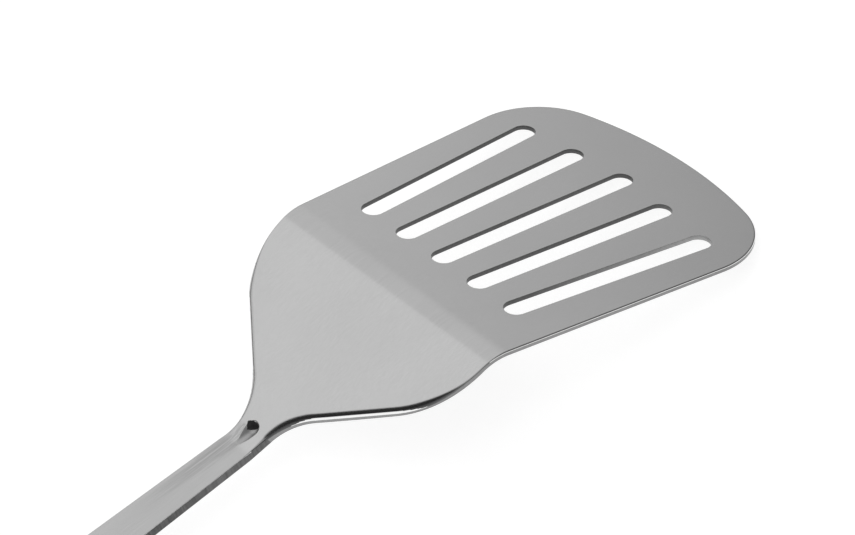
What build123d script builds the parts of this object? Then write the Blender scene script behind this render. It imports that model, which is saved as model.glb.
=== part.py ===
from build123d import *
import math
import os

# A slotted turner lying back side up: a steel body drawn down from thick stock to a thin blade, with a
# full tang, two grip scales, three two-part rivets and a hanging tube.
# The body is drawn in the flat blade's frame: X across, Y towards the tip, Z out of the back face, and
# the origin at the near end centre of the middle slot.

# Steel
blade_thickness = 1.2
stock_thickness = 2.3
blade_rounding = 0.45
shoulder_rounding = 1.9
stock_rounding = 0.25

# Blade outline
blade_half_width = 40.3
blade_flare_deg = 4.5
blade_reach = 73.1
front_radius = 110.0
corner_radius = 20.0
blade_root_length = 2.8

# Slots, fanned about the middle one
slots_each_side = 2
slot_width = 5.95
slot_length = 55.1
slot_shortening = 1.7
slot_pitch = 13.45
slot_fan_deg = 3.07
slot_root_setback = 0.12

# Centre line from the blade down the shoulder and over the neck to the shank
bend_distance = 12.6
bend_radius = 14.0
shoulder_deg = 30.7
drop_radius = 78.0
drop_deg = 39.3
rise_radius = 17.2
shank_deg = 16.7

# Flat outline of the shoulder, measured along that centre line from the start of the bend
shoulder_edge_start = 8.19
shoulder_corner_radius = 27.0
shoulder_edge_deg = 52.35
neck_radius = 18.6
neck_half_width = 4.64
neck_length = 1.23
shank_flare_deg = 1.16

# Where the edge rounding and the thickness change on that line, the last change ahead of the neck's end
thickening_start = 4.1
thickening_length = 30.0
rounding_start = 10.1
rounding_length = 13.0
sharpening_lead = 12.3
sharpening_length = 14.0

# Stiffening dent pressed into the foot of the neck, ahead of the neck's end
dent_radius = 2.2
dent_depth = 1.3
dent_deg = 13.0
dent_length = 9.0
dent_lead = 6.0

# Shank and full tang, with shares of the grip's length measured from its front end
shank_length = 72.0
tang_flare_length = 10.0
grip_length = 118.0
swell_share = 0.356
waist_share = 0.678
butt_length = 12.0
grip_front_half_width = 8.4
grip_swell_half_width = 11.0
grip_waist_half_width = 9.3
grip_butt_half_width = 11.8
grip_butt_radius = 8.0

# Grip scales, one slab of wood each, bevelled all round
slab_thickness = 7.0
slab_bevel = 2.8

# Rivets: a sleeve from the back side and a post from the food side
rivet_shares = {"front": 0.144, "middle": 0.441, "rear": 0.737}
rivet_head_diameter = 7.5
rivet_seat_height = 3.4
sleeve_diameter = 5.0
post_diameter = 3.4
post_reach = 8.0
post_end_gap = 0.4
tang_hole_clearance = 0.1
slab_hole_clearance = 0.05
post_clearance = 0.03

# Hanging tube, where the butt starts
tube_outer_diameter = 8.4
tube_bore_diameter = 6.0

# Clearance of cutting tools past the faces they cut
overrun = 5.0

# Sections of the drawn shoulder and neck
bend_section_count = 4
shoulder_section_count = 8
drop_section_count = 3
rise_section_count = 4

right_angle_deg = 90.0


def ramp(distance, start, length):
    """Rise smoothly from 0 to 1 over a length."""
    share = min(max((distance - start) / length, 0), 1)
    return share * share * (3 - 2 * share)


def path_segments():
    """Centre line segments down to the shank as length, first slope and last slope, in radians."""
    shoulder, drop, shank = (math.radians(a) for a in (shoulder_deg, drop_deg, shank_deg))
    bend_length = bend_radius * shoulder
    drop_length = drop_radius * (drop - shoulder)
    rise_length = rise_radius * (drop - shank)
    neck_start = shoulder_corners()[-1][0]
    return [
        (bend_length, 0, shoulder),
        (neck_start + neck_length - bend_length - drop_length - rise_length, shoulder, shoulder),
        (drop_length, shoulder, drop),
        (rise_length, drop, shank),
    ]


def station(distance):
    """Point and slope of the back face's centre line at a distance from the start of the bend."""
    if distance <= 0:
        return -bend_distance - distance, 0, 0
    y, z = -bend_distance, 0
    for length, first, last in path_segments():
        run = min(distance, length)
        slope = first + (last - first) * run / length
        if first == last:
            y -= run * math.cos(first)
            z -= run * math.sin(first)
        else:
            radius = length / (last - first)
            y -= radius * (math.sin(slope) - math.sin(first))
            z -= radius * (math.cos(first) - math.cos(slope))
        distance -= run
        if distance <= 0:
            return y, z, slope
    return y, z, slope


def shoulder_corners():
    """Distance and half width where the flat outline's arcs start and end."""
    flare, edge, shank = (math.radians(a) for a in (blade_flare_deg, shoulder_edge_deg, -shank_flare_deg))
    start = (shoulder_edge_start, side_half_width(shoulder_edge_start))
    turned = (
        start[0] + shoulder_corner_radius * (math.sin(edge) - math.sin(flare)),
        start[1] - shoulder_corner_radius * (math.cos(flare) - math.cos(edge)),
    )
    hollow_half_width = neck_half_width + neck_radius * (math.cos(shank) - math.cos(edge))
    run = (turned[1] - hollow_half_width) / math.tan(edge)
    hollow = (turned[0] + run, hollow_half_width)
    neck = (hollow[0] + neck_radius * (math.sin(edge) - math.sin(shank)), neck_half_width)
    return start, turned, hollow, neck


def neck_end():
    """Distance at which the straight shank starts."""
    return shoulder_corners()[-1][0] + neck_length


def side_half_width(distance):
    """Half width of the blade's straight flared sides."""
    return blade_half_width - (bend_distance + distance) * math.tan(math.radians(blade_flare_deg))


def outline(distance):
    """Half width of the flat outline and the angle of its edge, at a distance along the centre line."""
    flare, edge, shank = (math.radians(a) for a in (blade_flare_deg, shoulder_edge_deg, -shank_flare_deg))
    start, turned, hollow, neck = shoulder_corners()
    if distance <= start[0]:
        return side_half_width(distance), flare
    if distance <= turned[0]:
        angle = math.asin(math.sin(flare) + (distance - start[0]) / shoulder_corner_radius)
        return start[1] - shoulder_corner_radius * (math.cos(flare) - math.cos(angle)), angle
    if distance <= hollow[0]:
        return turned[1] - (distance - turned[0]) * math.tan(edge), edge
    if distance <= neck[0]:
        angle = math.asin(math.sin(edge) - (distance - hollow[0]) / neck_radius)
        return hollow[1] - neck_radius * (math.cos(angle) - math.cos(edge)), angle
    return neck[1] - (distance - neck[0]) * math.tan(shank), shank


def thickness(distance):
    """Thickness of the steel, drawn down from the stock to the blade."""
    return blade_thickness + (stock_thickness - blade_thickness) * ramp(
        distance, thickening_start, thickening_length
    )


def rounding(distance):
    """Radius of the back face's edge, full along the shoulder and small on the blade and the shank."""
    fuller = (shoulder_rounding - blade_rounding) * ramp(distance, rounding_start, rounding_length)
    sharpening_start = neck_end() - sharpening_lead
    sharper = (shoulder_rounding - stock_rounding) * ramp(distance, sharpening_start, sharpening_length)
    return blade_rounding + fuller - sharper


def plane_at(distance):
    """Plane square to the centre line, with its own Y out of the back face."""
    y, z, slope = station(distance)
    return Plane(origin=(0, y, z), x_dir=(1, 0, 0), z_dir=(0, -math.cos(slope), -math.sin(slope)))


def section(distance):
    """Cross-section with rounded back edges."""
    half, angle = outline(distance)
    depth, drop = thickness(distance), rounding(distance)
    inset = drop / math.cos(angle)
    right = EllipticalCenterArc((half - inset, -drop), inset, drop, start_angle=0, arc_size=right_angle_deg)
    left = right.mirror(Plane.YZ)
    edges = [
        Line((-half, -depth), (half, -depth)),
        Line((half, -depth), right @ 0),
        right,
        Line(right @ 1, left @ 1),
        left,
        Line(left @ 0, (-half, -depth)),
    ]
    return plane_at(distance) * make_face(Wire(edges))


def stops(first, last, count):
    """Evenly spaced distances after the first one."""
    return [first + (last - first) * i / count for i in range(1, count + 1)]


def shoulder_and_neck():
    """Solid drawn through sections from the blade's root to the straight shank."""
    distances = [-blade_root_length, 0]
    for (length, first, last), count in zip(
        path_segments(), (bend_section_count, shoulder_section_count, drop_section_count, rise_section_count)
    ):
        distances += stops(distances[-1], distances[-1] + length, count)
    return loft([section(d) for d in distances])


def corner_point():
    """Where the blade's straight side would meet its front arc."""
    lean = math.tan(math.radians(blade_flare_deg))
    centre = blade_reach - front_radius
    half_b = blade_half_width * lean - centre
    square = 1 + lean**2
    rest = blade_half_width**2 + centre**2 - front_radius**2
    y = (math.sqrt(half_b**2 - square * rest) - half_b) / square
    return blade_half_width + y * lean, y


def slot(index):
    """Outline of one slot, counted from the middle one."""
    angle = index * slot_fan_deg
    length = slot_length - abs(index) * slot_shortening
    root = Vector(index * slot_pitch, -abs(index) * slot_root_setback)
    middle = root + Vector(0, length / 2).rotate(Axis.Z, -angle)
    return Pos(middle) * Rot(Z=right_angle_deg - angle) * SlotCenterToCenter(length, slot_width)


def blade():
    """Flat blade ahead of the shoulder, with its back edges rounded."""
    root = blade_root_length - bend_distance
    root_half = side_half_width(-blade_root_length)
    x, y = corner_point()
    edges = [
        Line((-x, y), (-root_half, root)),
        Line((-root_half, root), (root_half, root)),
        Line((root_half, root), (x, y)),
        ThreePointArc((x, y), (0, blade_reach), (-x, y)),
    ]
    face = make_face(Wire(edges))
    face = fillet(face.vertices().sort_by(Axis.Y)[-2:], corner_radius)
    plate = extrude(face, amount=-blade_thickness)
    rim = plate.edges().group_by(Axis.Z)[-1].sort_by(Axis.Y)[1:]
    return fillet(rim, blade_rounding)


def handle_plane(height=0):
    """Plane of the shank's back face, or one at a height off it, with its Y towards the tip."""
    y, z, slope = station(neck_end())
    normal = Vector(0, -math.sin(slope), math.cos(slope))
    return Plane(origin=Vector(0, y, z) + normal * height, x_dir=(1, 0, 0), z_dir=normal)


def hang_share():
    """Share of the grip's length at the hanging tube."""
    return 1 - butt_length / grip_length


def along_grip(share):
    """Place along the handle at a share of the grip's length."""
    return -shank_length - share * grip_length


def radius_over(run, rise):
    """Radius of an arc that starts square to its run and rises sideways by the end of it."""
    return (run**2 + rise**2) / (2 * rise)


def grip_side():
    """Right side of the grip in the handle's plane: three tangent arcs from its front to its butt."""
    shares = (0, swell_share, waist_share, hang_share())
    front, swell_place, waist_place, hang_place = (along_grip(share) for share in shares)
    swell = radius_over(front - swell_place, grip_swell_half_width - grip_front_half_width)
    waist = radius_over(swell_place - waist_place, grip_swell_half_width - grip_waist_half_width) - swell
    butt = radius_over(waist_place - hang_place, grip_butt_half_width - grip_waist_half_width) - waist
    swell_centre = Vector(grip_swell_half_width - swell, swell_place)
    waist_centre = Vector(grip_waist_half_width + waist, waist_place)
    butt_centre = Vector(grip_butt_half_width - butt, hang_place)
    first = swell_centre + (waist_centre - swell_centre) * (swell / (swell + waist))
    second = waist_centre + (butt_centre - waist_centre) * (waist / (waist + butt))
    last = butt_centre + Vector(math.sqrt(butt**2 - butt_length**2), -butt_length)
    return [
        RadiusArc((grip_front_half_width, front), first, swell),
        RadiusArc(first, second, -waist),
        RadiusArc(second, last, butt),
    ]


def mirrored_face(side):
    """Face between a chain of right-hand edges and its mirror image."""
    top, bottom = side[0] @ 0, side[-1] @ 1
    others = [edge.mirror(Plane.YZ) for edge in side]
    ends = [Line(top, (-top.X, top.Y)), Line(bottom, (-bottom.X, bottom.Y))]
    return make_face(Wire(side + others + ends))


def grip_face():
    """Outline shared by the tang and both scales."""
    face = mirrored_face(grip_side())
    return fillet(face.vertices().sort_by(Axis.Y)[:2], grip_butt_radius)


def shank_face():
    """Outline of the shank and the flare of the tang in front of the grip."""
    half, lean = outline(neck_end())
    flare = -shank_length + tang_flare_length
    narrow = (half - flare * math.tan(-lean), flare)
    straight = Line((half, 0), narrow)
    return mirrored_face([straight, TangentArc(narrow, grip_side()[0] @ 0, tangent=straight % 1)])


def shank():
    """Straight shank and full tang, at the stock's own thickness."""
    bar = extrude(shank_face(), amount=-stock_thickness)
    rim = bar.edges().group_by(Axis.Z)[-1].sort_by(Axis.Y)[1:-1]
    return handle_plane() * (fillet(rim, stock_rounding) + extrude(grip_face(), amount=-stock_thickness))


def dent():
    """Round-ended tool whose lower side is the floor of the dent at the neck."""
    slope = math.radians(dent_deg)
    centre = plane_at(neck_end() - dent_lead).from_local_coords(Vector(0, dent_radius - dent_depth))
    along = Plane(origin=centre, x_dir=(1, 0, 0), z_dir=(0, -math.cos(slope), -math.sin(slope)))
    trough = Cylinder(dent_radius, dent_length, align=(Align.CENTER, Align.CENTER, Align.MIN))
    return along * (Sphere(dent_radius) + trough)


def scale_blank():
    """One scale before drilling, standing on the plane of its seat."""
    block = extrude(grip_face(), amount=slab_thickness)
    return chamfer(block.edges().group_by(Axis.Z)[-1], slab_bevel)


def column(share, diameter, bottom, top):
    """Upright cylinder on the grip's middle line, between two heights off the tang's back face."""
    place = Pos(0, along_grip(share), bottom)
    return place * Cylinder(diameter / 2, top - bottom, align=(Align.CENTER, Align.CENTER, Align.MIN))


def food_side(shape):
    """The same shape on the other side of the tang."""
    return shape.mirror(Plane.XY.offset(-stock_thickness / 2))


def drilled_scale():
    """Scale with its stepped rivet holes and the hanging tube's hole."""
    scale = scale_blank()
    top = slab_thickness + overrun
    for share in rivet_shares.values():
        scale -= column(share, sleeve_diameter + 2 * slab_hole_clearance, -overrun, top)
        scale -= column(share, rivet_head_diameter + 2 * slab_hole_clearance, rivet_seat_height, top)
    return scale - column(hang_share(), tube_outer_diameter + 2 * slab_hole_clearance, -overrun, top)


def rivet_sleeve(share):
    """Headed sleeve that passes through both scales and the tang."""
    end = -stock_thickness - rivet_seat_height
    head = column(share, rivet_head_diameter, rivet_seat_height, slab_thickness)
    barrel = column(share, sleeve_diameter, end, rivet_seat_height)
    bore = column(share, post_diameter + 2 * post_clearance, end, end + post_reach + post_end_gap)
    return head + barrel - bore


def rivet_post(share):
    """Headed post that closes the sleeve from the food side."""
    seat = -stock_thickness - rivet_seat_height
    head = column(share, rivet_head_diameter, -stock_thickness - slab_thickness, seat)
    return head + column(share, post_diameter, seat, seat + post_reach)


def hanging_tube():
    """Tube lining the hanging hole, flush with both scales."""
    food_face = -stock_thickness - slab_thickness
    tube = column(hang_share(), tube_outer_diameter, food_face, slab_thickness)
    return tube - column(hang_share(), tube_bore_diameter, food_face, slab_thickness)


def turner_body():
    """Blade, shoulder, neck, shank and tang in one piece of steel."""
    body = blade() + shoulder_and_neck() + shank() - dent()
    bottom = -stock_thickness - overrun
    diameters = {share: sleeve_diameter for share in rivet_shares.values()}
    diameters[hang_share()] = tube_outer_diameter
    for share, diameter in diameters.items():
        body -= handle_plane() * column(share, diameter + 2 * tang_hole_clearance, bottom, overrun)
    for index in range(-slots_each_side, slots_each_side + 1):
        body -= extrude(slot(index), amount=blade_thickness + overrun, both=True)
    return body


def resting_angle():
    """Angle that lays the tip's food-side edge and the grip's food side on one level."""
    seat = -shank_length - grip_length + slab_bevel
    butt = handle_plane(-stock_thickness - slab_thickness).from_local_coords(Vector(0, seat))
    return math.degrees(math.atan2(-blade_thickness - butt.Z, blade_reach - butt.Y))


def build_parts():
    """Every piece in the resting frame, with the origin at the bottom centre of the whole turner."""
    on_handle = {"back_scale": drilled_scale()}
    on_handle["food_scale"] = food_side(on_handle["back_scale"])
    for name, share in rivet_shares.items():
        on_handle[name + "_rivet_sleeve"] = rivet_sleeve(share)
        on_handle[name + "_rivet_post"] = rivet_post(share)
    on_handle["hanging_tube"] = hanging_tube()
    pieces = {"turner_body": turner_body()}
    for name, shape in on_handle.items():
        pieces[name] = handle_plane() * shape
    pieces = {name: Rot(X=-resting_angle()) * shape for name, shape in pieces.items()}
    box = Compound(list(pieces.values())).bounding_box()
    middle = Vector((box.min.X + box.max.X) / 2, (box.min.Y + box.max.Y) / 2, box.min.Z)
    return {name: Pos(-middle) * shape for name, shape in pieces.items()}


os.makedirs("parts", exist_ok=True)
for node, shape in build_parts().items():
    export_step(shape, "parts/" + node + ".step")
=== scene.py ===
import math

import bmesh
import bpy
from mathutils import Matrix, Vector


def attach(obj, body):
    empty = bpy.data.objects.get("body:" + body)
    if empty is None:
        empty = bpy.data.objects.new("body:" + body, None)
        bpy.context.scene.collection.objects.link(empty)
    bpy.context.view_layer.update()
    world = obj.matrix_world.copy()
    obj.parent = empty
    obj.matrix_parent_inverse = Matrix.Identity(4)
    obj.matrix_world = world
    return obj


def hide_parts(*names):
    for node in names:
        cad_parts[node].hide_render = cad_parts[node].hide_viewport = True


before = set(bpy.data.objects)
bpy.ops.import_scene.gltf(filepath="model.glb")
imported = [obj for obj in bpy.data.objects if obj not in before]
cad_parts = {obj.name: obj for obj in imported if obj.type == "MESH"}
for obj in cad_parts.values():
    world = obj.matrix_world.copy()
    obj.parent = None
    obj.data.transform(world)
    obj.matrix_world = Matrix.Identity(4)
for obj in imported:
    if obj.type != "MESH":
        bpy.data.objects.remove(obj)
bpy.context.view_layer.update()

# The turner lies back side up. It is drawn in millimetres in the flat blade's frame: X across, Y towards the
# tip, Z out of the back face, and the origin at the near end centre of the middle slot. A distance runs
# along the body's centre line from the start of the bend towards the grip.

# Steel
blade_thickness = 1.2
stock_thickness = 2.3
blade_rounding = 0.45
shoulder_rounding = 1.9
stock_rounding = 0.14

# Blade outline
blade_half_width = 40.3
blade_flare = math.radians(4.5)
blade_reach = 73.1
front_radius = 110.0
corner_radius = 20.0

# Slots, fanned about the middle one
slots_each_side = 2
slot_width = 5.95
slot_length = 55.1
slot_shortening = 1.7
slot_pitch = 13.45
slot_fan = math.radians(3.07)
slot_root_setback = 0.12

# Centre line from the blade down the shoulder and over the neck to the shank
bend_distance = 12.6
bend_radius = 14.0
shoulder_slope = math.radians(30.7)
drop_radius = 78.0
drop_slope = math.radians(39.3)
rise_radius = 17.2
shank_slope = math.radians(16.7)

# Flat outline of the shoulder and neck
shoulder_edge_start = 8.19
shoulder_corner_radius = 27.0
shoulder_edge = math.radians(52.35)
neck_radius = 18.6
neck_half_width = 4.64
neck_length = 1.23
shank_flare = math.radians(1.16)

# Where the thickness and the edge rounding change. A lead is a distance ahead of the neck's end.
thickening_start = 4.1
thickening_length = 30.0
rounding_start = 10.1
rounding_length = 13.0
sharpening_lead = 12.3
sharpening_length = 14.0

# Stiffening dent at the foot of the neck
dent_radius = 2.2
dent_depth = 1.3
dent_slope = math.radians(13.0)
dent_length = 9.0
dent_lead = 6.0
dent_softness = 0.1

# Shank and full tang
shank_length = 72.0
tang_flare_length = 10.0
grip_length = 118.0
swell_distance = 0.356 * grip_length
waist_distance = 0.678 * grip_length
hang_distance = 106.0
grip_front_half_width = 8.4
grip_swell_half_width = 11.0
grip_waist_half_width = 9.3
grip_butt_half_width = 11.8
grip_butt_radius = 8.0

# Grip scales, rivets and hanging tube
slab_thickness = 7.0
slab_bevel = 2.8
rivet_shares = {"front": 0.144, "middle": 0.441, "rear": 0.737}
rivet_places = {name: share * grip_length for name, share in rivet_shares.items()}
rivet_head_radius = 3.75
rivet_seat_height = 3.4
sleeve_radius = 2.5
post_radius = 1.7
post_bore_radius = 1.73
post_reach = 8.0
post_end_gap = 0.4
tube_outer_radius = 4.2
tube_bore_radius = 3.0
hole_clearance = 0.05
tang_holes = [(distance, sleeve_radius + hole_clearance) for distance in rivet_places.values()]
tang_holes.append((hang_distance, tube_outer_radius + hole_clearance))

# Fine finish of edges and faces. hold is the width of the flat band that keeps a face's shading flat.
hold = 0.04
burr_break = 0.05
rounding_share = 0.6
bevel_softness = 0.5
front_softness = 0.4
head_softness = 0.18
tube_flare = 0.3
tube_flare_break = 0.08
shank_hollow = 0.07
hollow_lead = 6.0
hollow_fade = 16.0
hollow_end_lead = 8.0
hollow_end_fade = 6.0

# Finish along the body's edge: satin over this share of the rounding, then polished and painted bright as a
# highlight line from the blade's root on and along the shoulder, painted dark as shade towards the neck, and
# as rough as the stock past it
satin_share = 4 / 7
blade_lead = 51.5
polish_highlight_far = 35.5
polish_highlight_near = 12.0
polish_highlight_taper = 6.0
dark_lead = 6.5
coarse_lead = 2.0

# Painted shade at the dent's near wall and beside it, in near-black steel where the dent's shade falls, and
# the worn finish of the rest of the dent
dent_shade_near = 5.3
dent_shade_far = 7.9
dent_shade_lean = 0.8
dent_shade_offset = 1.5
dent_shade_crown = 0.17
worn_least = 0.02

# Painted shade down one side of the neck and the shank, streaky at its edges, in metres across the part and
# in millimetres along it
side_shade_offset = 0.0019
side_shade_width = 0.0032
side_shade_drift = 0.005
side_shade_core = 0.4
side_shade_reach = 34.0
side_shade_lead = 5.5
side_shade_fade = 1.0

# Painted light on the slot walls, which grow paler towards the right front corner, by a place across plus a
# share of the place along
paler_lean = 0.25
paler_start = 0.026
paler_end = 0.043
paler_most = 3.2

# Mesh density
neck_zone = 14.0
neck_zone_lead = 11.0
neck_zone_reach = 6.0
bend_steps = 14
shoulder_steps = 64
neck_steps = 110
shank_steps = 40
flare_steps = 20
grip_steps = 80
butt_steps = 20
corner_steps = 26
front_steps = 22
slot_steps = 28
edge_steps = 14
soft_steps = 5
break_steps = 3
rim_steps = 4
hole_steps = 64
turned_steps = 72
back_columns = 72
food_columns = 16
halvings = 24
inset_rounds = 6

# Place of the resting turner in the row's frame
rest_tilt = math.radians(15.938733)
rest_shift = Vector((0.0, 93.220158, 21.227807))

# Camera solved from the photograph's straight edges, in the flat blade's frame
photo_width = 855.0
sensor_width = 36.0
focal_pixels = 2954.785
half_pixel = 0.5
camera_place = Vector((453.53856, -361.431927, 378.737626))
camera_right = Vector((0.61761949, 0.78647633, 0.001072))
camera_down = Vector((0.43322988, -0.33907699, -0.83506806))
camera_ahead = Vector((-0.65639777, 0.51621873, -0.55014561))

# Floor, in metres, and how far it is topped up to white for the camera and for gloss
floor_radius = 6.0
floor_gap = 0.00002
floor_colour = 0.44
floor_lift = 0.775

# Soft walls of the studio. A lobe is its aim as azimuth and elevation, and its outer and inner angle, all in
# degrees. Each dim lobe comes with the share of the light that is left in it.
room_level = 0.48
wall_level = 0.79
wall_lobe = ((175, 40), 62, 36)
dim_lobes = [
    (((268, 22), 48, 38), 0.06),
    (((62, 45), 44, 28), 0.4),
    (((95, 25), 42, 20), 0.55),
]
skirt_top = 20
skirt_full = 6
skirt_level = 0.15
sweep_lobe = ((335, 0), 100, 80)
sweep_top = 19
sweep_full = 8

# Lamps: aim, side, distance and power
key_lamp = ((195, 52), 1.6, 2.2, 1.15)
fill_lamp = ((300, 72), 2.4, 2.5, 18.0)

# Material slots of the body
# POLISH_HIGHLIGHT is polished steel painted bright as a highlight line.
# SCALE holds the painted shade at the dent.
# SHEARED, PUNCHED and STOCK are rougher steel, painted dark as shade as well.
SATIN, SHEARED, POLISH_HIGHLIGHT, PUNCHED, STOCK, SCALE, WORN = range(7)

to_row = Matrix.Scale(0.001, 4) @ Matrix.Translation(rest_shift) @ Matrix.Rotation(-rest_tilt, 4, "X")
food_top = -stock_thickness - slab_thickness
food_seat = -stock_thickness - rivet_seat_height


def ramp(value, start, length):
    """Rise smoothly from 0 to 1 over a length."""
    share = min(max((value - start) / length, 0), 1)
    return share * share * (3 - 2 * share)


def shoulder_corners():
    """Ends of the shoulder's two arcs, each as a distance and a half width."""
    half = blade_half_width - (bend_distance + shoulder_edge_start) * math.tan(blade_flare)
    start = (shoulder_edge_start, half)
    turned = (
        start[0] + shoulder_corner_radius * (math.sin(shoulder_edge) - math.sin(blade_flare)),
        start[1] - shoulder_corner_radius * (math.cos(blade_flare) - math.cos(shoulder_edge)),
    )
    hollow_half = neck_half_width + neck_radius * (math.cos(shank_flare) - math.cos(shoulder_edge))
    hollow = (turned[0] + (turned[1] - hollow_half) / math.tan(shoulder_edge), hollow_half)
    neck = (hollow[0] + neck_radius * (math.sin(shoulder_edge) + math.sin(shank_flare)), neck_half_width)
    return start, turned, hollow, neck


corners = shoulder_corners()
neck_end = corners[3][0] + neck_length
grip_start = neck_end + shank_length
bend_length = bend_radius * shoulder_slope
drop_length = drop_radius * (drop_slope - shoulder_slope)
rise_length = rise_radius * (drop_slope - shank_slope)
path = [
    (bend_length, 0, shoulder_slope),
    (neck_end - bend_length - drop_length - rise_length, shoulder_slope, shoulder_slope),
    (drop_length, shoulder_slope, drop_slope),
    (rise_length, drop_slope, shank_slope),
    (shank_length + 2 * grip_length, shank_slope, shank_slope),
]


def station(distance):
    """Place and slope of the back face's centre line, by distance from the start of the bend."""
    if distance <= 0:
        return -bend_distance - distance, 0, 0
    y, z = -bend_distance, 0
    for length, first, last in path:
        run = min(distance, length)
        slope = first + (last - first) * run / length
        if first == last:
            y -= run * math.cos(first)
            z -= run * math.sin(first)
        else:
            radius = length / (last - first)
            y -= radius * (math.sin(slope) - math.sin(first))
            z -= radius * (math.cos(first) - math.cos(slope))
        distance -= run
        if distance <= 0:
            break
    return y, z, slope


def place(x, distance, height):
    """Point above the back face at a distance along the centre line."""
    y, z, slope = station(distance)
    return Vector((x, y - height * math.sin(slope), z + height * math.cos(slope)))


def radius_over(run, rise):
    """Radius of an arc that starts level and rises over a run."""
    return (run**2 + rise**2) / (2 * rise)


swell_rise = grip_swell_half_width - grip_front_half_width
waist_rise = grip_swell_half_width - grip_waist_half_width
butt_rise = grip_butt_half_width - grip_waist_half_width
swell_radius = radius_over(swell_distance, swell_rise)
waist_radius = radius_over(waist_distance - swell_distance, waist_rise) - swell_radius
butt_radius = radius_over(hang_distance - waist_distance, butt_rise) - waist_radius
swell_end = swell_distance + (waist_distance - swell_distance) * swell_radius / (swell_radius + waist_radius)
waist_end = waist_distance + (hang_distance - waist_distance) * waist_radius / (waist_radius + butt_radius)
butt_centre = grip_butt_half_width - butt_radius
round_place = grip_length - grip_butt_radius
round_rise = math.sqrt((butt_radius - grip_butt_radius) ** 2 - (round_place - hang_distance) ** 2)
round_centre = butt_centre + round_rise
round_start = hang_distance + (round_place - hang_distance) * butt_radius / (butt_radius - grip_butt_radius)


def grip_half(distance):
    """Half width of the grip, by distance from its front."""
    if distance <= swell_end:
        along = distance - swell_distance
        return grip_swell_half_width - swell_radius + math.sqrt(swell_radius**2 - along**2)
    if distance <= waist_end:
        along = distance - waist_distance
        return grip_waist_half_width + waist_radius - math.sqrt(waist_radius**2 - along**2)
    if distance <= round_start:
        return butt_centre + math.sqrt(butt_radius**2 - (distance - hang_distance) ** 2)
    return round_centre + math.sqrt(max(grip_butt_radius**2 - (distance - round_place) ** 2, 0))


def outline(distance):
    """Half width of the body's flat outline and the angle of its edge."""
    start, turned, hollow, neck = corners
    if distance <= start[0]:
        return blade_half_width - (bend_distance + distance) * math.tan(blade_flare), blade_flare
    if distance <= turned[0]:
        angle = math.asin(math.sin(blade_flare) + (distance - start[0]) / shoulder_corner_radius)
        return start[1] - shoulder_corner_radius * (math.cos(blade_flare) - math.cos(angle)), angle
    if distance <= hollow[0]:
        return turned[1] - (distance - turned[0]) * math.tan(shoulder_edge), shoulder_edge
    if distance <= neck[0]:
        angle = math.asin(math.sin(shoulder_edge) - (distance - hollow[0]) / neck_radius)
        return hollow[1] - neck_radius * (math.cos(angle) - math.cos(shoulder_edge)), angle
    straight = neck[1] + (distance - neck[0]) * math.tan(shank_flare)
    flare = grip_start - tang_flare_length
    if distance <= flare:
        return straight, -shank_flare
    if distance <= grip_start:
        first = neck[1] + (flare - neck[0]) * math.tan(shank_flare)
        rise = grip_front_half_width - first
        lean = math.atan2(rise, tang_flare_length) - shank_flare
        radius = math.hypot(rise, tang_flare_length) / (2 * math.sin(lean))
        turned = math.asin(math.sin(shank_flare) + (distance - flare) / radius)
        return first + radius * (math.cos(shank_flare) - math.cos(turned)), -turned
    return grip_half(distance - grip_start), 0


def rounding(distance):
    """Width of the back edges' rounding, which is full along the shoulder."""
    fuller = (shoulder_rounding - blade_rounding) * ramp(distance, rounding_start, rounding_length)
    sharpened = ramp(distance, neck_end - sharpening_lead, sharpening_length)
    return blade_rounding + fuller - (shoulder_rounding - stock_rounding) * sharpened


def dent_axis():
    """Centre of the ball at the near end of the dent's tool."""
    y, z, slope = station(neck_end - dent_lead)
    lift = dent_radius - dent_depth
    return Vector((0, y - lift * math.sin(slope), z + lift * math.cos(slope)))


dent_centre = dent_axis()
dent_along = Vector((0, -math.cos(dent_slope), -math.sin(dent_slope)))


def dent_drop(x, distance):
    """Depth of the stiffening dent under the back face."""
    base = place(x, distance, 0)
    normal = place(x, distance, 1) - base

    def clear(depth):
        away = base - normal * depth - dent_centre
        run = min(max(away.dot(dent_along), 0), dent_length)
        return (away - dent_along * run).length - dent_radius

    if clear(0) >= 0:
        return 0
    low, high = 0.0, dent_depth + dent_radius
    for _ in range(halvings):
        middle = (low + high) / 2
        if clear(middle) < 0:
            low = middle
        else:
            high = middle
    return low * low / (low + dent_softness)


def scaled(x, distance):
    """Whether a spot lies at the dent's near wall, where the dent's shade is painted in near-black steel."""
    ahead = neck_end - distance
    past_low = ahead > dent_shade_near + dent_shade_lean * (x + dent_shade_offset)
    past_left = x + dent_shade_offset > (dent_shade_near - ahead) / (2 * dent_shade_lean)
    return past_low and past_left and ahead < dent_shade_far - dent_shade_crown * (x + dent_shade_offset / 5) ** 2


def spread(first, last, count):
    """Evenly spaced values, both ends among them."""
    return [first + (last - first) * i / count for i in range(count + 1)]


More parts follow.
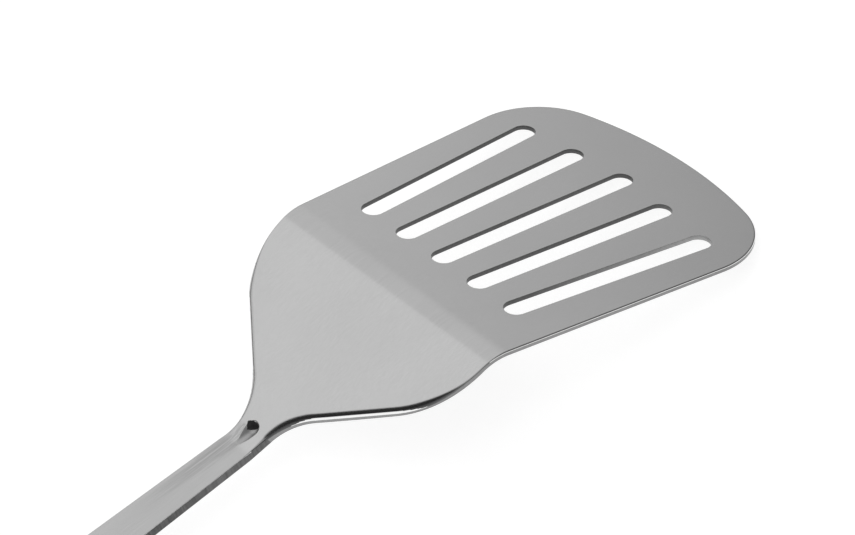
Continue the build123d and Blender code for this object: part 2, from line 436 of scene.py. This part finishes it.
class Shell:
    """A closed mesh drawn as strips between rows of points, with flat caps."""

    def __init__(self):
        self.mesh = bmesh.new()

    def row(self, points):
        """Mesh points at the given places."""
        return [self.mesh.verts.new(p) for p in points]

    def strip(self, rows, slots=None, closed=False):
        """Quads between successive rows. slots gives the material of each band."""
        for band, (a, b) in enumerate(zip(rows, rows[1:])):
            count = len(a)
            for i in range(count if closed else count - 1):
                j = (i + 1) % count
                face = self.mesh.faces.new((a[i], a[j], b[j], b[i]))
                face.material_index = slots[band] if slots else 0

    def cap(self, loops):
        """Fills a flat outline, the later loops being holes."""
        edges = []
        for loop in loops:
            for i, vert in enumerate(loop):
                pair = (vert, loop[(i + 1) % len(loop)])
                edges.append(self.mesh.edges.get(pair) or self.mesh.edges.new(pair))
        bmesh.ops.triangle_fill(self.mesh, use_beauty=True, use_dissolve=False, edges=edges)

    def finish(self, name, materials, weld=1e-4):
        """Welds the seams, moves the mesh into the row's frame and returns it as an object."""
        bmesh.ops.remove_doubles(self.mesh, verts=self.mesh.verts, dist=weld)
        bmesh.ops.recalc_face_normals(self.mesh, faces=self.mesh.faces)
        self.mesh.transform(to_row)
        data = bpy.data.meshes.new(name)
        self.mesh.to_mesh(data)
        self.mesh.free()
        data.shade_smooth()
        for material in materials:
            data.materials.append(material)
        thing = bpy.data.objects.new(name, data)
        bpy.context.scene.collection.objects.link(thing)
        return thing


def softened(chain, softness):
    """A chain of (inset, depth) points with each inner corner rounded over its own length."""
    points = [Vector(chain[0])]
    for before, corner, after, reach in zip(chain, chain[1:], chain[2:], softness):
        before, corner, after = Vector(before), Vector(corner), Vector(after)
        first = corner + (before - corner).normalized() * reach
        last = corner + (after - corner).normalized() * reach
        for u in spread(0, 1, soft_steps):
            points.append(first * (1 - u) ** 2 + corner * 2 * u * (1 - u) + last * u**2)
    return [tuple(p) for p in points + [Vector(chain[-1])]]


def edge_profile(depth, top, bottom, steps):
    """(inset, depth) down a plate's edge: hold, rounded top, wall, broken bottom, hold."""
    turns = spread(0, math.pi / 2, steps)
    rim = [(top * (1 - math.sin(a)), rounding_share * top * (1 - math.cos(a))) for a in turns]
    turns = spread(0, math.pi / 2, break_steps)
    foot = [(bottom * (1 - math.cos(a)), depth - bottom * (1 - math.sin(a))) for a in turns]
    return [(top + hold, 0)] + rim + foot + [(bottom + hold, depth)]


def edge_finish(lead=math.inf):
    """Material of each band down a plate's edge, by how far it lies ahead of the neck's end.

    The lower part of the rounding is polished and painted bright as a highlight line along the blade and the
    shoulder, but the polish runs out towards the neck and the bend, where the rounding is painted dark as
    shade. The wall is sheared, or as rough as the stock from the neck on, and painted darker as shade.
    """
    upper = round(edge_steps * satin_share)
    lower = edge_steps - upper
    # Where the highlight line runs out, the lower rounding is painted dark as shade.
    if lead < coarse_lead:
        low, wall = [POLISH_HIGHLIGHT] * lower, STOCK
    elif lead < dark_lead:
        low, wall = [STOCK] * lower, STOCK
    else:
        bright = min(lead - polish_highlight_near, polish_highlight_far - lead) / polish_highlight_taper if lead < blade_lead else 1
        dull = round(lower * (1 - min(max(bright, 0), 1)))
        low, wall = [PUNCHED] * dull + [POLISH_HIGHLIGHT] * (lower - dull), SHEARED
    return [SATIN] * (1 + upper) + low + [wall] + [SATIN] * (1 + break_steps)


def body_ring(distance):
    """Closed cross-section of the body: back face, right edge, food face, left edge."""
    half, angle = outline(distance)
    thickened = ramp(distance, thickening_start, thickening_length)
    depth = blade_thickness + (stock_thickness - blade_thickness) * thickened
    stretch = 1 / math.cos(angle)
    profile = edge_profile(depth, rounding(distance), burr_break, edge_steps)
    hollow = shank_hollow * ramp(distance, neck_end - hollow_lead, hollow_fade)
    hollow *= 1 - ramp(distance, grip_start - hollow_end_lead, hollow_end_fade)
    back = []
    inner = half - profile[0][0] * stretch
    for i in range(1, back_columns):
        x = inner * (2 * i / back_columns - 1)
        drop = hollow * (1 - (x / inner) ** 2)
        if abs(distance - neck_end) < neck_zone:
            drop += dent_drop(x, distance)
        back.append(place(x, distance, -drop))
    right = [place(half - inset * stretch, distance, -down) for inset, down in profile]
    left = [Vector((-p.x, p.y, p.z)) for p in reversed(right)]
    floor = half - profile[-1][0] * stretch
    steps = range(1, food_columns)
    food = [place(floor * (1 - 2 * i / food_columns), distance, -depth) for i in steps]
    return back + right + food + left


def body_distances():
    """Stations along the centre line up to the grip, close together where the form changes fast."""
    places = [0, bend_length, neck_end - neck_zone_lead, neck_end + neck_zone_reach]
    places += [grip_start - tang_flare_length, grip_start]
    counts = (bend_steps, shoulder_steps, neck_steps, shank_steps, flare_steps)
    stops = [0]
    for first, last, count in zip(places, places[1:], counts):
        stops += spread(first, last, count)[1:]
    return stops


def grip_distances(front):
    """Stations along the grip from a place near its front to the end of its butt."""
    first = math.asin((round_start - round_place) / grip_butt_radius)
    turns = spread(first, math.pi / 2, butt_steps)[1:]
    butt = [round_place + grip_butt_radius * math.sin(a) for a in turns]
    return spread(front, round_start, grip_steps) + butt


def blade_outline():
    """Points and inward offsets round the blade, from its right root by the tip to its left root."""
    along = Vector((math.sin(blade_flare), math.cos(blade_flare)))
    out = Vector((math.cos(blade_flare), -math.sin(blade_flare)))
    front = Vector((0, blade_reach - front_radius))
    base = Vector((blade_half_width, 0)) - out * corner_radius
    away = base - front
    gap = front_radius - corner_radius
    level = away.dot(along)
    run = -level + math.sqrt(level * level - away.length_squared + gap * gap)
    corner = base + along * run
    turn = math.atan2(corner.y - front.y, corner.x - front.x)
    right = [(Vector((outline(0)[0], -bend_distance)), Vector((-1 / math.cos(blade_flare), 0)))]
    for angle in spread(-blade_flare, turn, corner_steps):
        ray = Vector((math.cos(angle), math.sin(angle)))
        right.append((corner + ray * corner_radius, -ray))
    for angle in spread(turn, math.pi / 2, front_steps)[1:]:
        ray = Vector((math.cos(angle), math.sin(angle)))
        right.append((front + ray * front_radius, -ray))
    left = [(Vector((-p.x, p.y)), Vector((-m.x, m.y))) for p, m in reversed(right[:-1])]
    return right + left


def slot_outline(index):
    """Points and offsets into the steel round one slot, counted from the middle one."""
    angle = index * slot_fan
    along = Vector((math.sin(angle), math.cos(angle)))
    across = Vector((math.cos(angle), -math.sin(angle)))
    near = Vector((index * slot_pitch, -abs(index) * slot_root_setback))
    far = near + along * (slot_length - abs(index) * slot_shortening)
    points = []
    for centre, first in ((far, 0), (near, math.pi)):
        for turn in spread(first, first + math.pi, slot_steps):
            ray = across * math.cos(turn) + along * math.sin(turn)
            points.append((centre + ray * slot_width / 2, ray))
    return points


def grip_outline(inset):
    """Points round the grip, inset from its outline, in X and distance from its front."""

    def normal(distance):
        if distance <= swell_end:
            centre = Vector((grip_swell_half_width - swell_radius, swell_distance))
            side = 1
        elif distance <= waist_end:
            centre = Vector((grip_waist_half_width + waist_radius, waist_distance))
            side = -1
        elif distance <= round_start:
            centre = Vector((butt_centre, hang_distance))
            side = 1
        else:
            centre = Vector((round_centre, round_place))
            side = 1
        return (centre - Vector((grip_half(distance), distance))).normalized() * side

    front = inset
    for _ in range(inset_rounds):
        front = inset * (1 - normal(front).y)
    right = [Vector((grip_half(d), d)) + normal(d) * inset for d in grip_distances(front)]
    corner, reach = right[0], front_softness + hold
    beside = corner + (right[1] - corner).normalized() * reach
    turn = softened([corner - Vector((reach, 0)), corner, beside], [front_softness])
    right = [Vector(p) for p in turn] + right[1:]
    return right + [Vector((-p.x, p.y)) for p in reversed(right)]


def circle(radius, distance, count=hole_steps):
    """Points round a place on the part's middle line, in X and distance."""
    turns = spread(0, 2 * math.pi, count)[:-1]
    return [Vector((radius * math.cos(a), distance + radius * math.sin(a))) for a in turns]


def build_shank(shell, rows, right, left, deep):
    """Skin of the shoulder, neck and shank between rings of points."""
    count = len(rows[0])
    for a, b, distance in zip(rows, rows[1:], body_distances()):
        bands = [SATIN] * count
        for k, slot in enumerate(edge_finish(neck_end - distance)):
            bands[right + k] = slot
            bands[left + deep - 2 - k] = slot
        for i in range(count):
            j = (i + 1) % count
            face = shell.mesh.faces.new((a[i], a[j], b[j], b[i]))
            face.material_index = bands[i]
            if i < right and abs(distance - neck_end) < neck_zone:
                # Painted shade: near-black steel where the dent's shade falls; the rest of the dent is worn
                # steel.
                if scaled(a[i].co.x, distance):
                    face.material_index = SCALE
                elif dent_drop(a[i].co.x, distance) > worn_least:
                    face.material_index = WORN


def build_tang(shell, last, right, left, deep):
    """Edges, bored faces and end of the tang, from the shank's last ring on."""
    sides = [last[right : right + deep] + last[left:]]
    for distance in grip_distances(0)[1:]:
        ring = body_ring(grip_start + distance)
        sides.append(shell.row(ring[right : right + deep] + ring[left:]))
    finish = edge_finish(-math.inf)
    for a, b in zip(sides, sides[1:]):
        for k, slot in enumerate(finish):
            for i in (k, 2 * deep - 2 - k):
                face = shell.mesh.faces.new((a[i], a[i + 1], b[i + 1], b[i]))
                face.material_index = slot
    shell.mesh.faces.new(sides[-1]).material_index = STOCK
    tops, bottoms = [], []
    for distance, radius in tang_holes:
        spots = circle(radius, grip_start + distance)
        ring = [shell.row([place(p.x, p.y, height) for p in spots]) for height in (0, -stock_thickness)]
        shell.strip(ring, [PUNCHED], closed=True)
        tops.append(ring[0])
        bottoms.append(ring[1])
    back = [last[-1]] + last[: right + 1]
    food = last[right + deep - 1 : left + 1]
    shell.cap([back + [s[0] for s in sides[1:]] + [s[-1] for s in sides[:0:-1]]] + tops)
    shell.cap([food + [s[deep] for s in sides[1:]] + [s[deep - 1] for s in sides[:0:-1]]] + bottoms)


def build_blade(shell, root, right, left, deep):
    """Edge, slots and faces of the flat blade, from the first ring on."""

    def level(points, inset, down):
        return [(p + m * inset).to_3d() - Vector((0, 0, down)) for p, m in points]

    contour = blade_outline()[1:-1]
    edge = []
    for k, (inset, down) in enumerate(edge_profile(blade_thickness, blade_rounding, burr_break, edge_steps)):
        edge.append([root[right + k]] + shell.row(level(contour, inset, down)) + [root[left + deep - 1 - k]])
    shell.strip(edge, edge_finish())
    tops, bottoms = [], []
    for index in range(-slots_each_side, slots_each_side + 1):
        spots = slot_outline(index)
        profile = edge_profile(blade_thickness, burr_break, burr_break, break_steps)
        ring = [shell.row(level(spots, inset, down)) for inset, down in profile]
        shell.strip(ring, [SATIN] + [PUNCHED] * (len(ring) - 3) + [SATIN], closed=True)
        tops.append(ring[0])
        bottoms.append(ring[-1])
    shell.cap([edge[0] + root[:right]] + tops)
    shell.cap([edge[-1] + root[right + deep : left][::-1]] + bottoms)


def build_body(materials):
    """Blade, shoulder, neck, shank and tang as one skin.

    A ring starts with the back face. Its right edge starts at point right and its left edge at point left,
    and each edge is deep points long.
    """
    shell = Shell()
    rows = [shell.row(body_ring(d)) for d in body_distances()]
    deep = len(edge_finish()) + 1
    right = back_columns - 1
    left = right + deep + food_columns - 1
    build_shank(shell, rows, right, left, deep)
    build_tang(shell, rows[-1], right, left, deep)
    build_blade(shell, rows[0], right, left, deep)
    return shell.finish("turner", materials)


def build_slab(name, materials, side):
    """One wooden grip scale with its stepped rivet holes. side is 1 on the back and -1 on the food side."""
    shell = Shell()
    base = 0 if side > 0 else -stock_thickness

    def at(point, height):
        return place(point.x, grip_start + point.y, base + side * height)

    section = [
        (slab_bevel + bevel_softness + hold, 0),
        (slab_bevel, 0),
        (0, slab_bevel),
        (0, slab_thickness),
        (burr_break + hold, slab_thickness),
    ]
    edge = []
    for inset, down in softened(section, (bevel_softness, bevel_softness, burr_break)):
        edge.append(shell.row([at(p, slab_thickness - down) for p in grip_outline(inset)]))
    shell.strip(edge, closed=True)
    tops, bottoms = [], []
    head_bore, barrel_bore, tube_bore = (
        radius + hole_clearance for radius in (rivet_head_radius, sleeve_radius, tube_outer_radius)
    )
    holes = [(distance, head_bore, barrel_bore) for distance in rivet_places.values()]
    holes.append((hang_distance, tube_bore, tube_bore))
    for distance, wide, narrow in holes:
        steps = [
            (wide + burr_break + hold, slab_thickness),
            (wide + burr_break, slab_thickness),
            (wide + burr_break / 3, slab_thickness - burr_break / 3),
            (wide, slab_thickness - burr_break),
            (wide, rivet_seat_height),
        ]
        if narrow < wide:
            steps.append((narrow, rivet_seat_height))
        steps.append((narrow, 0))
        ring = [shell.row([at(p, height) for p in circle(radius, distance)]) for radius, height in steps]
        shell.strip(ring, closed=True)
        tops.append(ring[0])
        bottoms.append(ring[-1])
    shell.cap([edge[0]] + tops)
    shell.cap([edge[-1]] + bottoms)
    return shell.finish(name, materials)


def build_turned(name, materials, distance, profile):
    """Turned piece on the handle's middle line from a closed chain of (radius, height)."""
    shell = Shell()
    rings = [
        shell.row([place(p.x, grip_start + p.y, height) for p in circle(radius, distance, turned_steps)])
        for radius, height in profile + profile[:1]
    ]
    shell.strip(rings, closed=True)
    return shell.finish(name, materials)


def rounded(radius, height, side):
    """Softened rim of a turned head, from its side to its flat, or the other way when reversed."""
    reach = head_softness
    turns = spread(0, math.pi / 2, rim_steps)
    rim = [(radius - reach * (1 - math.cos(a)), height - side * reach * (1 - math.sin(a))) for a in turns]
    return rim + [(radius - reach - hold, height)]


def sleeve_profile():
    """Rivet half from the back side: head, seat, barrel and the blind bore that takes the post."""
    return [
        (0, slab_thickness),
        *rounded(rivet_head_radius, slab_thickness, 1)[::-1],
        (rivet_head_radius, rivet_seat_height),
        (sleeve_radius, rivet_seat_height),
        (sleeve_radius, food_seat),
        (post_bore_radius, food_seat),
        (post_bore_radius, food_seat + post_reach + post_end_gap),
        (0, food_seat + post_reach + post_end_gap),
    ]


def post_profile():
    """Rivet half from the food side: head, seat and the post in the sleeve's bore."""
    return [
        (0, food_top),
        *rounded(rivet_head_radius, food_top, -1)[::-1],
        (rivet_head_radius, food_seat),
        (post_radius, food_seat),
        (post_radius, food_seat + post_reach),
        (0, food_seat + post_reach),
    ]


def tube_profile():
    """Lining of the hanging hole, rounded outside and flared inside at both ends."""
    narrow, broken, wide = (tube_bore_radius + r for r in (0, tube_flare_break, tube_flare))
    return [
        *rounded(tube_outer_radius, slab_thickness, 1),
        (wide, slab_thickness),
        (broken, slab_thickness - tube_flare_break),
        (narrow, slab_thickness - tube_flare),
        (narrow, food_top + tube_flare),
        (broken, food_top + tube_flare_break),
        (wide, food_top),
        *rounded(tube_outer_radius, food_top, -1)[::-1],
    ]


class Nodes:
    """Short way to write a node tree."""

    def __init__(self, tree):
        self.tree = tree
        tree.nodes.clear()

    def add(self, kind, values=None, **settings):
        """A node whose inputs take sockets or constants."""
        node = self.tree.nodes.new(kind)
        for key, value in settings.items():
            setattr(node, key, value)
        for key, value in (values or {}).items():
            socket = node.inputs[key]
            if isinstance(value, bpy.types.NodeSocket):
                self.tree.links.new(value, socket)
            else:
                socket.default_value = value
        return node

    def calc(self, operation, *values):
        """Result of one operation on sockets and numbers."""
        return self.add("ShaderNodeMath", dict(enumerate(values)), operation=operation).outputs[0]

    def times(self, vector, factor):
        """Vector or colour times a factor."""
        return self.add("ShaderNodeVectorMath", {0: vector, "Scale": factor}, operation="SCALE").outputs[0]

    def remap(self, value, start, end, low, high, **settings):
        """Value taken from the range start to end to the range low to high."""
        values = {"Value": value, "From Min": start, "From Max": end, "To Min": low, "To Max": high}
        return self.add("ShaderNodeMapRange", values, **settings).outputs[0]

    def fade(self, value, start, end, low, high):
        """Value taken from one range to another with soft ends."""
        return self.remap(value, start, end, low, high, interpolation_type="SMOOTHSTEP")

    def stretch(self, where, scale, turn=(0.0, 0.0, 0.0)):
        """Places scaled along each axis."""
        return self.add("ShaderNodeMapping", {"Vector": where, "Scale": scale, "Rotation": turn}).outputs[0]

    def noise(self, where, detail, roughness=0.5, scale=1.0):
        """Cloudy noise, as a value and as a colour."""
        values = {"Vector": where, "Scale": scale, "Detail": detail, "Roughness": roughness}
        return self.add("ShaderNodeTexNoise", values).outputs


def new_material(name):
    """An empty material and its node tree."""
    material = bpy.data.materials.new(name)
    material.use_nodes = True
    return material, Nodes(material.node_tree)


def painted_side_shade(n, where, fine):
    """Painted shade down one side of the neck and the shank, streaky at its edges, from 0 to 1."""
    spot = n.add("ShaderNodeSeparateXYZ", {"Vector": where}).outputs
    warp = n.noise(n.stretch(where, (500.0, 55.0, 500.0)), 4.0)["Fac"]
    drift = n.calc("MULTIPLY_ADD", warp, side_shade_drift, side_shade_offset - side_shade_drift / 2)
    across = n.calc("ABSOLUTE", n.calc("ADD", spot["X"], drift))

    def row_y(ahead):
        return (to_row @ place(0, neck_end - ahead, 0)).y

    side_shade_mask = n.fade(across, side_shade_width, side_shade_width * side_shade_core, 0.0, 1.0)
    for value, none, full in (
        (spot["Y"], row_y(-side_shade_reach), row_y(0)),
        (spot["Y"], row_y(side_shade_lead + side_shade_fade), row_y(side_shade_lead)),
        (fine, 0.3, 0.6),
    ):
        side_shade_mask = n.calc("MULTIPLY", side_shade_mask, n.fade(value, none, full, 0.0, 1.0))
    return side_shade_mask


def painted_wall_light(n, where):
    """Factor of painted light on the slot walls' tone, which rises towards the blade's right front corner."""
    spot = n.add("ShaderNodeSeparateXYZ", {"Vector": where}).outputs
    origin = (to_row @ Vector()).y
    along = n.calc("MULTIPLY_ADD", spot["Y"], paler_lean, -paler_lean * origin)
    return n.remap(n.calc("ADD", spot["X"], along), paler_start, paler_end, 1.0, paler_most)


def steel(name, colour, roughness, grain, cloud, bump, side_shade_strength=0, paler=False):
    """Steel with a cloudy polish, fine lines and faint pits. grain is the lines' scale per metre by axis."""
    material, n = new_material(name)
    where = n.add("ShaderNodeTexCoord").outputs["Object"]
    fine = n.noise(n.stretch(where, grain), 6.0, 0.6)["Fac"]
    patches = n.noise(where, 3.0, scale=38.0)["Fac"]
    pits = n.noise(where, 2.0, scale=5200.0)["Fac"]
    blend = n.calc("ADD", fine, patches)
    tone = n.remap(blend, 0.75, 1.25, 1 - cloud, 1 + cloud)
    # Painted shade darkens one side of the neck and the shank.
    if side_shade_strength:
        less = n.calc("MULTIPLY_ADD", painted_side_shade(n, where, fine), -side_shade_strength, 1.0)
        tone = n.calc("MULTIPLY", tone, less)
    # Painted light: the slot walls grow paler towards the right front corner.
    if paler:
        tone = n.calc("MULTIPLY", tone, painted_wall_light(n, where))
    relief = n.calc("ADD", fine, pits)
    ridge = n.add("ShaderNodeBump", {"Height": relief, "Strength": bump, "Distance": 0.00002})
    shader = n.add(
        "ShaderNodeBsdfPrincipled",
        {
            "Base Color": n.times(colour, tone),
            "Metallic": 1.0,
            "Roughness": n.remap(blend, 0.6, 1.4, roughness * 0.85, roughness * 1.15),
            "Normal": ridge.outputs[0],
        },
    )
    n.add("ShaderNodeOutputMaterial", {"Surface": shader.outputs[0]})
    return material


def walnut(name):
    """Oiled walnut: rings seen along the grip, pores, and a soft sheen."""
    material, n = new_material(name)
    where = n.add("ShaderNodeTexCoord").outputs["Object"]
    sway = n.noise(n.stretch(where, (60.0, 9.0, 60.0)), 3.0)["Color"]
    grown = n.stretch(where, (150.0, 10.0, 150.0), (0.0, 0.12, 0.05))
    bent = n.add("ShaderNodeVectorMath", {0: grown, 1: n.times(sway, 0.9)}, operation="ADD")
    rings = n.add(
        "ShaderNodeTexWave",
        {"Vector": bent.outputs[0], "Scale": 0.55, "Distortion": 4.5, "Detail": 3.0, "Detail Scale": 1.2},
        wave_type="BANDS",
        bands_direction="X",
        wave_profile="SAW",
    )
    pores = n.noise(n.stretch(where, (3200.0, 130.0, 3200.0)), 4.0, 0.65)["Fac"]
    dark_pores = n.remap(pores, 0.3, 0.5, 0.45, 1.0)
    tones = n.add("ShaderNodeValToRGB", {"Fac": rings.outputs["Fac"]})
    pale, dark = tones.color_ramp.elements
    pale.color = (0.235, 0.128, 0.07, 1)
    dark.color = (0.085, 0.042, 0.022, 1)
    tones.color_ramp.elements.new(0.45).color = (0.17, 0.088, 0.046, 1)
    ridge = n.add("ShaderNodeBump", {"Height": dark_pores, "Strength": 0.35, "Distance": 0.00012})
    shader = n.add(
        "ShaderNodeBsdfPrincipled",
        {
            "Base Color": n.times(tones.outputs[0], dark_pores),
            "Roughness": n.remap(pores, 0.3, 0.7, 0.62, 0.4),
            "Normal": ridge.outputs[0],
            "Coat Weight": 0.12,
            "Coat Roughness": 0.35,
        },
    )
    n.add("ShaderNodeOutputMaterial", {"Surface": shader.outputs[0]})
    return material


# The satin steel carries the painted shade beside the neck and down one side of the shank.
satin = steel("satin_steel", (0.56, 0.56, 0.56), 0.18, (2600.0, 90.0, 2600.0), 0.035, 0.06, 0.27)
# Sheared edges: rougher, and painted darker as the shade of the floor they reflect.
sheared = steel("sheared_steel_painted_shade", (0.26, 0.26, 0.26), 0.35, (900.0, 900.0, 140.0), 0.1, 0.4)
# Bright steel on the lower edge rounding: polished, and painted brighter as a highlight line.
polished = steel("polished_steel_painted_highlight", (0.88, 0.88, 0.88), 0.08, (900.0, 90.0, 900.0), 0.02, 0.03)
# Slot walls, bores and dull bands of the rounding: rougher, and painted near-black as shade; the slot walls
# are painted paler towards the right front corner as light.
punched = steel("punched_steel_painted_shade", (0.11, 0.11, 0.11), 0.45, (900.0, 900.0, 140.0), 0.12, 0.4, paler=True)
# Stock edges of the shank and tang: rougher, and painted near-black as shade.
stock = steel("stock_edge_steel_painted_shade", (0.1, 0.1, 0.1), 0.38, (2200.0, 2200.0, 160.0), 0.5, 0.5)
# Near-black steel for the painted shade at the dent.
scale = steel("painted_dent_shade", (0.06, 0.06, 0.061), 0.55, (900.0, 900.0, 900.0), 0.3, 0.4)
worn = steel("worn_steel", (0.5, 0.5, 0.5), 0.42, (900.0, 300.0, 900.0), 0.05, 0.2)
ground = steel("ground_steel", (0.6, 0.6, 0.59), 0.3, (1500.0, 300.0, 1500.0), 0.05, 0.35)
wood = walnut("oiled_walnut")

body = build_body([satin, sheared, polished, punched, stock, scale, worn])
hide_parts("turner_body")

pieces = [body]
for name, side in (("back_grip", 1), ("food_grip", -1)):
    slab = build_slab(name, [wood], side)
    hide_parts("back_scale" if side > 0 else "food_scale")
    pieces.append(slab)

for name, distance in rivet_places.items():
    for part, profile in (("sleeve", sleeve_profile()), ("post", post_profile())):
        turned = build_turned(f"{name}_{part}", [ground], distance, profile)
        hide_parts(f"{name}_rivet_{part}")
        pieces.append(turned)

lining = build_turned("tube", [ground], hang_distance, tube_profile())
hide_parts("hanging_tube")
pieces.append(lining)

for piece in pieces:
    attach(piece, "root")


def build_floor():
    """Plain white floor. What the camera and gloss see is topped up to white, and the shadow stays."""
    data = bpy.data.meshes.new("floor")
    sheet = bmesh.new()
    bmesh.ops.create_circle(sheet, cap_ends=True, segments=96, radius=floor_radius)
    sheet.to_mesh(data)
    sheet.free()
    floor = bpy.data.objects.new("floor", data)
    floor.location.z = -floor_gap
    bpy.context.scene.collection.objects.link(floor)
    material, n = new_material("white_floor")
    rays = n.add("ShaderNodeLightPath").outputs
    seen = n.calc("MAXIMUM", rays["Is Camera Ray"], rays["Is Glossy Ray"])
    seen = n.calc("MAXIMUM", seen, rays["Is Transmission Ray"])
    matt = n.add("ShaderNodeBsdfDiffuse", {"Color": (floor_colour, floor_colour, floor_colour, 1)})
    lift = n.calc("MULTIPLY", seen, floor_lift)
    glow = n.add("ShaderNodeEmission", {"Color": (1, 1, 1, 1), "Strength": lift})
    both = n.add("ShaderNodeAddShader", {0: matt.outputs[0], 1: glow.outputs[0]})
    n.add("ShaderNodeOutputMaterial", {"Surface": both.outputs[0]})
    data.materials.append(material)


def direction(azimuth, elevation):
    """Unit vector, azimuth measured from +X towards +Y, in degrees."""
    a, e = math.radians(azimuth), math.radians(elevation)
    return (math.cos(a) * math.cos(e), math.sin(a) * math.cos(e), math.sin(e))


def build_studio():
    """Soft walls that light the steel, with white in their place for the camera."""
    world = bpy.data.worlds.new("studio")
    bpy.context.scene.world = world
    world.use_nodes = True
    n = Nodes(world.node_tree)
    ray = n.add("ShaderNodeTexCoord").outputs["Generated"]
    height = n.add("ShaderNodeSeparateXYZ", {"Vector": ray}).outputs["Z"]

    def lobe(shape, low, high):
        aim, outer, inner = shape
        facing = n.add("ShaderNodeVectorMath", {0: ray, 1: direction(*aim)}, operation="DOT_PRODUCT")
        start, end = (math.cos(math.radians(angle)) for angle in (outer, inner))
        return n.fade(facing.outputs["Value"], start, end, low, high)

    def band(start, end, low, high):
        start, end = (math.sin(math.radians(angle)) for angle in (start, end))
        return n.fade(height, start, end, low, high)

    def whiter(factor, level):
        values = {"Factor": factor, "A": level, "B": 1.0}
        return n.add("ShaderNodeMix", values, data_type="FLOAT").outputs[0]

    dim = 1.0
    for shape, left in dim_lobes:
        dim = n.calc("MULTIPLY", dim, lobe(shape, 1.0, left))
    level = n.calc("MULTIPLY", lobe(wall_lobe, room_level, wall_level), dim)
    level = n.calc("MULTIPLY", level, band(skirt_full, skirt_top, skirt_level, 1.0))
    sweep = n.calc("MULTIPLY", band(sweep_top, sweep_full, 0.0, 1.0), lobe(sweep_lobe, 0.0, 1.0))
    shown = whiter(n.add("ShaderNodeLightPath").outputs["Is Camera Ray"], whiter(sweep, level))
    backdrop = n.add("ShaderNodeBackground", {"Color": (1, 1, 1, 1), "Strength": shown})
    n.add("ShaderNodeOutputWorld", {"Surface": backdrop.outputs[0]})


def build_lamp(name, aim, size, distance, power, in_gloss):
    """Large soft lamp, aimed at the turner."""
    data = bpy.data.lights.new(name, "AREA")
    data.shape = "SQUARE"
    data.size = size
    data.energy = power
    lamp = bpy.data.objects.new(name, data)
    away = Vector(direction(*aim))
    lamp.location = away * distance
    lamp.rotation_euler = away.to_track_quat("Z", "Y").to_euler()
    lamp.visible_glossy = in_gloss
    bpy.context.scene.collection.objects.link(lamp)


def build_camera():
    """Camera of the photograph, aimed half a pixel up and to the left of the solved middle ray."""
    data = bpy.data.cameras.new("camera")
    data.sensor_fit = "HORIZONTAL"
    data.sensor_width = sensor_width
    data.lens = sensor_width * focal_pixels / photo_width
    data.clip_start = 0.05
    data.clip_end = 20.0
    camera = bpy.data.objects.new("camera", data)
    ahead = camera_ahead - (camera_right + camera_down) * half_pixel / focal_pixels
    ahead.normalize()
    right = camera_down.cross(ahead).normalized()
    down = ahead.cross(right)
    turn = Matrix((right, -down, -ahead)).transposed().to_4x4()
    where, way, _ = (to_row @ Matrix.Translation(camera_place) @ turn).decompose()
    camera.location = where
    camera.rotation_mode = "QUATERNION"
    camera.rotation_quaternion = way
    bpy.context.scene.collection.objects.link(camera)
    bpy.context.scene.camera = camera


build_floor()
build_studio()
build_lamp("key", *key_lamp, True)
build_lamp("fill", *fill_lamp, False)
build_camera()
bpy.context.scene.view_settings.view_transform = "Standard"
